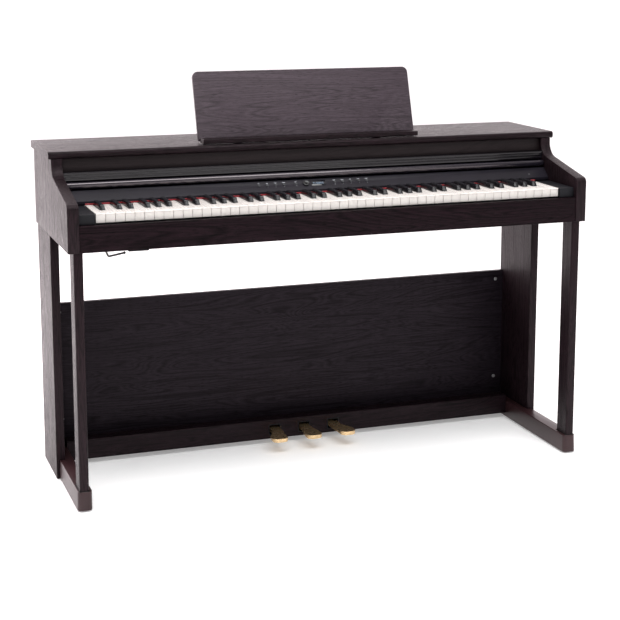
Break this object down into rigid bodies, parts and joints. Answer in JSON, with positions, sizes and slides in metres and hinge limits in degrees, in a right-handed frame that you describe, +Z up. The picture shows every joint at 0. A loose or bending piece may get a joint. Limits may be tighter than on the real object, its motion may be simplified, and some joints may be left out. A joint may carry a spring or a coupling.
{
  "type": "digital piano on stand",
  "caption": "Upright digital piano cabinet with a full weighted keyboard, sliding key cover, folding music rest and a panelled stand with pedals.",
  "frame": {"origin": "on the floor under the middle of the case, the centre of the bounding box's base", "axes": "+X to the player's right, +Y to the back of the case, +Z up; the player sits on the -Y side"},
  "size_m": [1.378, 0.468, 1.0277],
  "materials": {
    "rosewood_finish": "dark rosewood foil with a fine grain",
    "plain_board": "dark painted board",
    "black_plastic": "fine matt grain",
    "cover_black": "dark satin",
    "foot_plastic": "satin moulded",
    "rubber_pads": "matt",
    "red_felt": "felt",
    "display_gloss": "gloss",
    "control_gloss": "gloss",
    "control_matte": "satin",
    "white_keys": "ivory-feel satin",
    "black_keys": "ebony-feel matt",
    "pedal_brass": "polished",
    "zinc_steel": "zinc plated",
    "black_metal": "black"
  },
  "bodies": {
    "cabinet_and_stand": {"bottom_board": "plain_board", "cabinet_back_panel": "plain_board", "control_panel": "black_plastic", "cover_guides": "black_plastic", "display_window": "display_gloss", "fascia_rail": "black_plastic", "foot_glides": "rubber_pads", "headphone_hook": "black_metal", "headphone_jack_box": "black_plastic", "key_chassis": "zinc_steel", "key_felt_strip": "red_felt", "key_pivot_rail": "zinc_steel", "key_slip": "rosewood_finish", "left_foot": "foot_plastic", "left_front_leg": "rosewood_finish", "left_key_block": "black_plastic", "left_rear_leg_board": "rosewood_finish", "left_side_board": "rosewood_finish", "music_rest_hinges": "zinc_steel", "name_panel": "rosewood_finish", "pedal_box": "rosewood_finish", "pedal_pivot_rod": "zinc_steel", "rear_jack_box": "black_plastic", "right_foot": "foot_plastic", "right_front_leg": "rosewood_finish", "right_key_block": "black_plastic", "right_rear_leg_board": "rosewood_finish", "right_side_board": "rosewood_finish", "speakers": "black_plastic", "stand_back_panel": "rosewood_finish", "stand_screws": "black_metal", "top_board": "rosewood_finish"},
    "black_key_a_sharp": {"black_key_a_sharp": "black_keys"},
    "black_key_c_sharp": {"black_key_c_sharp": "black_keys"},
    "black_key_d_sharp": {"black_key_d_sharp": "black_keys"},
    "black_key_f_sharp": {"black_key_f_sharp": "black_keys"},
    "black_key_g_sharp": {"black_key_g_sharp": "black_keys"},
    "black_keys_bass": {"black_keys_bass": "black_keys"},
    "black_keys_treble": {"black_keys_treble": "black_keys"},
    "white_key_a": {"white_key_a": "white_keys"},
    "white_key_b": {"white_key_b": "white_keys"},
    "white_key_c": {"white_key_c": "white_keys"},
    "white_key_d": {"white_key_d": "white_keys"},
    "white_key_e": {"white_key_e": "white_keys"},
    "white_key_f": {"white_key_f": "white_keys"},
    "white_key_g": {"white_key_g": "white_keys"},
    "white_keys_bass": {"white_keys_bass": "white_keys"},
    "white_keys_treble": {"white_keys_treble": "white_keys"},
    "key_cover": {"key_cover_bar": "cover_black", "key_cover_panel": "cover_black"},
    "music_rest": {"music_rest_panel": "rosewood_finish", "music_rest_ledge": "rosewood_finish"},
    "selector_dial": {"dial_knob": "control_gloss"},
    "power_button": {"power_button": "control_matte"},
    "left_buttons": {"left_buttons": "control_matte"},
    "right_buttons": {"right_buttons": "control_matte"},
    "soft_pedal": {"soft_pedal": "pedal_brass"},
    "sostenuto_pedal": {"sostenuto_pedal": "pedal_brass"},
    "damper_pedal": {"damper_pedal": "pedal_brass"},
    "adjuster_foot": {"adjuster_foot": "black_plastic"}
  },
  "joints": [
    {"name": "black_key_a_sharp_press", "type": "hinge", "parent": "cabinet_and_stand", "child": "black_key_a_sharp", "pos_m": [0, 0.012, 0.706], "axis": [1, 0, 0], "range_deg": [0, 2.5], "stiffness_Nm_per_rad": 3, "springref_deg": -3.44},
    {"name": "black_key_c_sharp_press", "type": "hinge", "parent": "cabinet_and_stand", "child": "black_key_c_sharp", "pos_m": [0, 0.012, 0.706], "axis": [1, 0, 0], "range_deg": [0, 2.5], "stiffness_Nm_per_rad": 3, "springref_deg": -3.44},
    {"name": "black_key_d_sharp_press", "type": "hinge", "parent": "cabinet_and_stand", "child": "black_key_d_sharp", "pos_m": [0, 0.012, 0.706], "axis": [1, 0, 0], "range_deg": [0, 2.5], "stiffness_Nm_per_rad": 3, "springref_deg": -3.44},
    {"name": "black_key_f_sharp_press", "type": "hinge", "parent": "cabinet_and_stand", "child": "black_key_f_sharp", "pos_m": [0, 0.012, 0.706], "axis": [1, 0, 0], "range_deg": [0, 2.5], "stiffness_Nm_per_rad": 3, "springref_deg": -3.44},
    {"name": "black_key_g_sharp_press", "type": "hinge", "parent": "cabinet_and_stand", "child": "black_key_g_sharp", "pos_m": [0, 0.012, 0.706], "axis": [1, 0, 0], "range_deg": [0, 2.5], "stiffness_Nm_per_rad": 3, "springref_deg": -3.44},
    {"name": "black_keys_bass_press", "type": "hinge", "parent": "cabinet_and_stand", "child": "black_keys_bass", "pos_m": [0, 0.012, 0.706], "axis": [1, 0, 0], "range_deg": [0, 2.5], "stiffness_Nm_per_rad": 48, "springref_deg": -3.44},
    {"name": "black_keys_treble_press", "type": "hinge", "parent": "cabinet_and_stand", "child": "black_keys_treble", "pos_m": [0, 0.012, 0.706], "axis": [1, 0, 0], "range_deg": [0, 2.5], "stiffness_Nm_per_rad": 45, "springref_deg": -3.44},
    {"name": "white_key_a_press", "type": "hinge", "parent": "cabinet_and_stand", "child": "white_key_a", "pos_m": [0, 0.012, 0.706], "axis": [1, 0, 0], "range_deg": [0, 2.5], "stiffness_Nm_per_rad": 3, "springref_deg": -3.44},
    {"name": "white_key_b_press", "type": "hinge", "parent": "cabinet_and_stand", "child": "white_key_b", "pos_m": [0, 0.012, 0.706], "axis": [1, 0, 0], "range_deg": [0, 2.5], "stiffness_Nm_per_rad": 3, "springref_deg": -3.44},
    {"name": "white_key_c_press", "type": "hinge", "parent": "cabinet_and_stand", "child": "white_key_c", "pos_m": [0, 0.012, 0.706], "axis": [1, 0, 0], "range_deg": [0, 2.5], "stiffness_Nm_per_rad": 3, "springref_deg": -3.44},
    {"name": "white_key_d_press", "type": "hinge", "parent": "cabinet_and_stand", "child": "white_key_d", "pos_m": [0, 0.012, 0.706], "axis": [1, 0, 0], "range_deg": [0, 2.5], "stiffness_Nm_per_rad": 3, "springref_deg": -3.44},
    {"name": "white_key_e_press", "type": "hinge", "parent": "cabinet_and_stand", "child": "white_key_e", "pos_m": [0, 0.012, 0.706], "axis": [1, 0, 0], "range_deg": [0, 2.5], "stiffness_Nm_per_rad": 3, "springref_deg": -3.44},
    {"name": "white_key_f_press", "type": "hinge", "parent": "cabinet_and_stand", "child": "white_key_f", "pos_m": [0, 0.012, 0.706], "axis": [1, 0, 0], "range_deg": [0, 2.5], "stiffness_Nm_per_rad": 3, "springref_deg": -3.44},
    {"name": "white_key_g_press", "type": "hinge", "parent": "cabinet_and_stand", "child": "white_key_g", "pos_m": [0, 0.012, 0.706], "axis": [1, 0, 0], "range_deg": [0, 2.5], "stiffness_Nm_per_rad": 3, "springref_deg": -3.44},
    {"name": "white_keys_bass_press", "type": "hinge", "parent": "cabinet_and_stand", "child": "white_keys_bass", "pos_m": [0, 0.012, 0.706], "axis": [1, 0, 0], "range_deg": [0, 2.5], "stiffness_Nm_per_rad": 69, "springref_deg": -3.44},
    {"name": "white_keys_treble_press", "type": "hinge", "parent": "cabinet_and_stand", "child": "white_keys_treble", "pos_m": [0, 0.012, 0.706], "axis": [1, 0, 0], "range_deg": [0, 2.5], "stiffness_Nm_per_rad": 66, "springref_deg": -3.44},
    {"name": "key_cover_slide", "type": "slide", "parent": "cabinet_and_stand", "child": "key_cover", "axis": [0, -0.9895, -0.1444], "range_m": [0, 0.174]},
    {"name": "music_rest_fold", "type": "hinge", "parent": "cabinet_and_stand", "child": "music_rest", "pos_m": [0, 0.022, 0.857], "axis": [1, 0, 0], "range_deg": [-71, 0]},
    {"name": "selector_dial_turn", "type": "hinge", "parent": "cabinet_and_stand", "child": "selector_dial", "pos_m": [-0.036, -0.06275, 0.74449], "axis": [0, -0.6626, 0.749], "continuous": true},
    {"name": "power_button_press", "type": "slide", "parent": "cabinet_and_stand", "child": "power_button", "axis": [0, 0.6626, -0.749], "range_m": [0, 0.001], "stiffness_N_per_m": 300, "springref_m": -0.0006},
    {"name": "left_buttons_press", "type": "slide", "parent": "cabinet_and_stand", "child": "left_buttons", "axis": [0, 0.6626, -0.749], "range_m": [0, 0.001], "stiffness_N_per_m": 1200, "springref_m": -0.0006},
    {"name": "right_buttons_press", "type": "slide", "parent": "cabinet_and_stand", "child": "right_buttons", "axis": [0, 0.6626, -0.749], "range_m": [0, 0.001], "stiffness_N_per_m": 1500, "springref_m": -0.0006},
    {"name": "soft_pedal_press", "type": "hinge", "parent": "cabinet_and_stand", "child": "soft_pedal", "pos_m": [0, 0.13, 0.039], "axis": [1, 0, 0], "range_deg": [0, 4.5], "stiffness_Nm_per_rad": 25, "springref_deg": -1.72},
    {"name": "sostenuto_pedal_press", "type": "hinge", "parent": "cabinet_and_stand", "child": "sostenuto_pedal", "pos_m": [0, 0.13, 0.039], "axis": [1, 0, 0], "range_deg": [0, 4.5], "stiffness_Nm_per_rad": 25, "springref_deg": -1.72},
    {"name": "damper_pedal_press", "type": "hinge", "parent": "cabinet_and_stand", "child": "damper_pedal", "pos_m": [0, 0.13, 0.039], "axis": [1, 0, 0], "range_deg": [0, 4.5], "stiffness_Nm_per_rad": 25, "springref_deg": -1.72},
    {"name": "adjuster_turn", "type": "hinge", "parent": "cabinet_and_stand", "child": "adjuster_foot", "pos_m": [0.055, 0.125, 0], "axis": [0, 0, 1], "continuous": true}
  ]
}
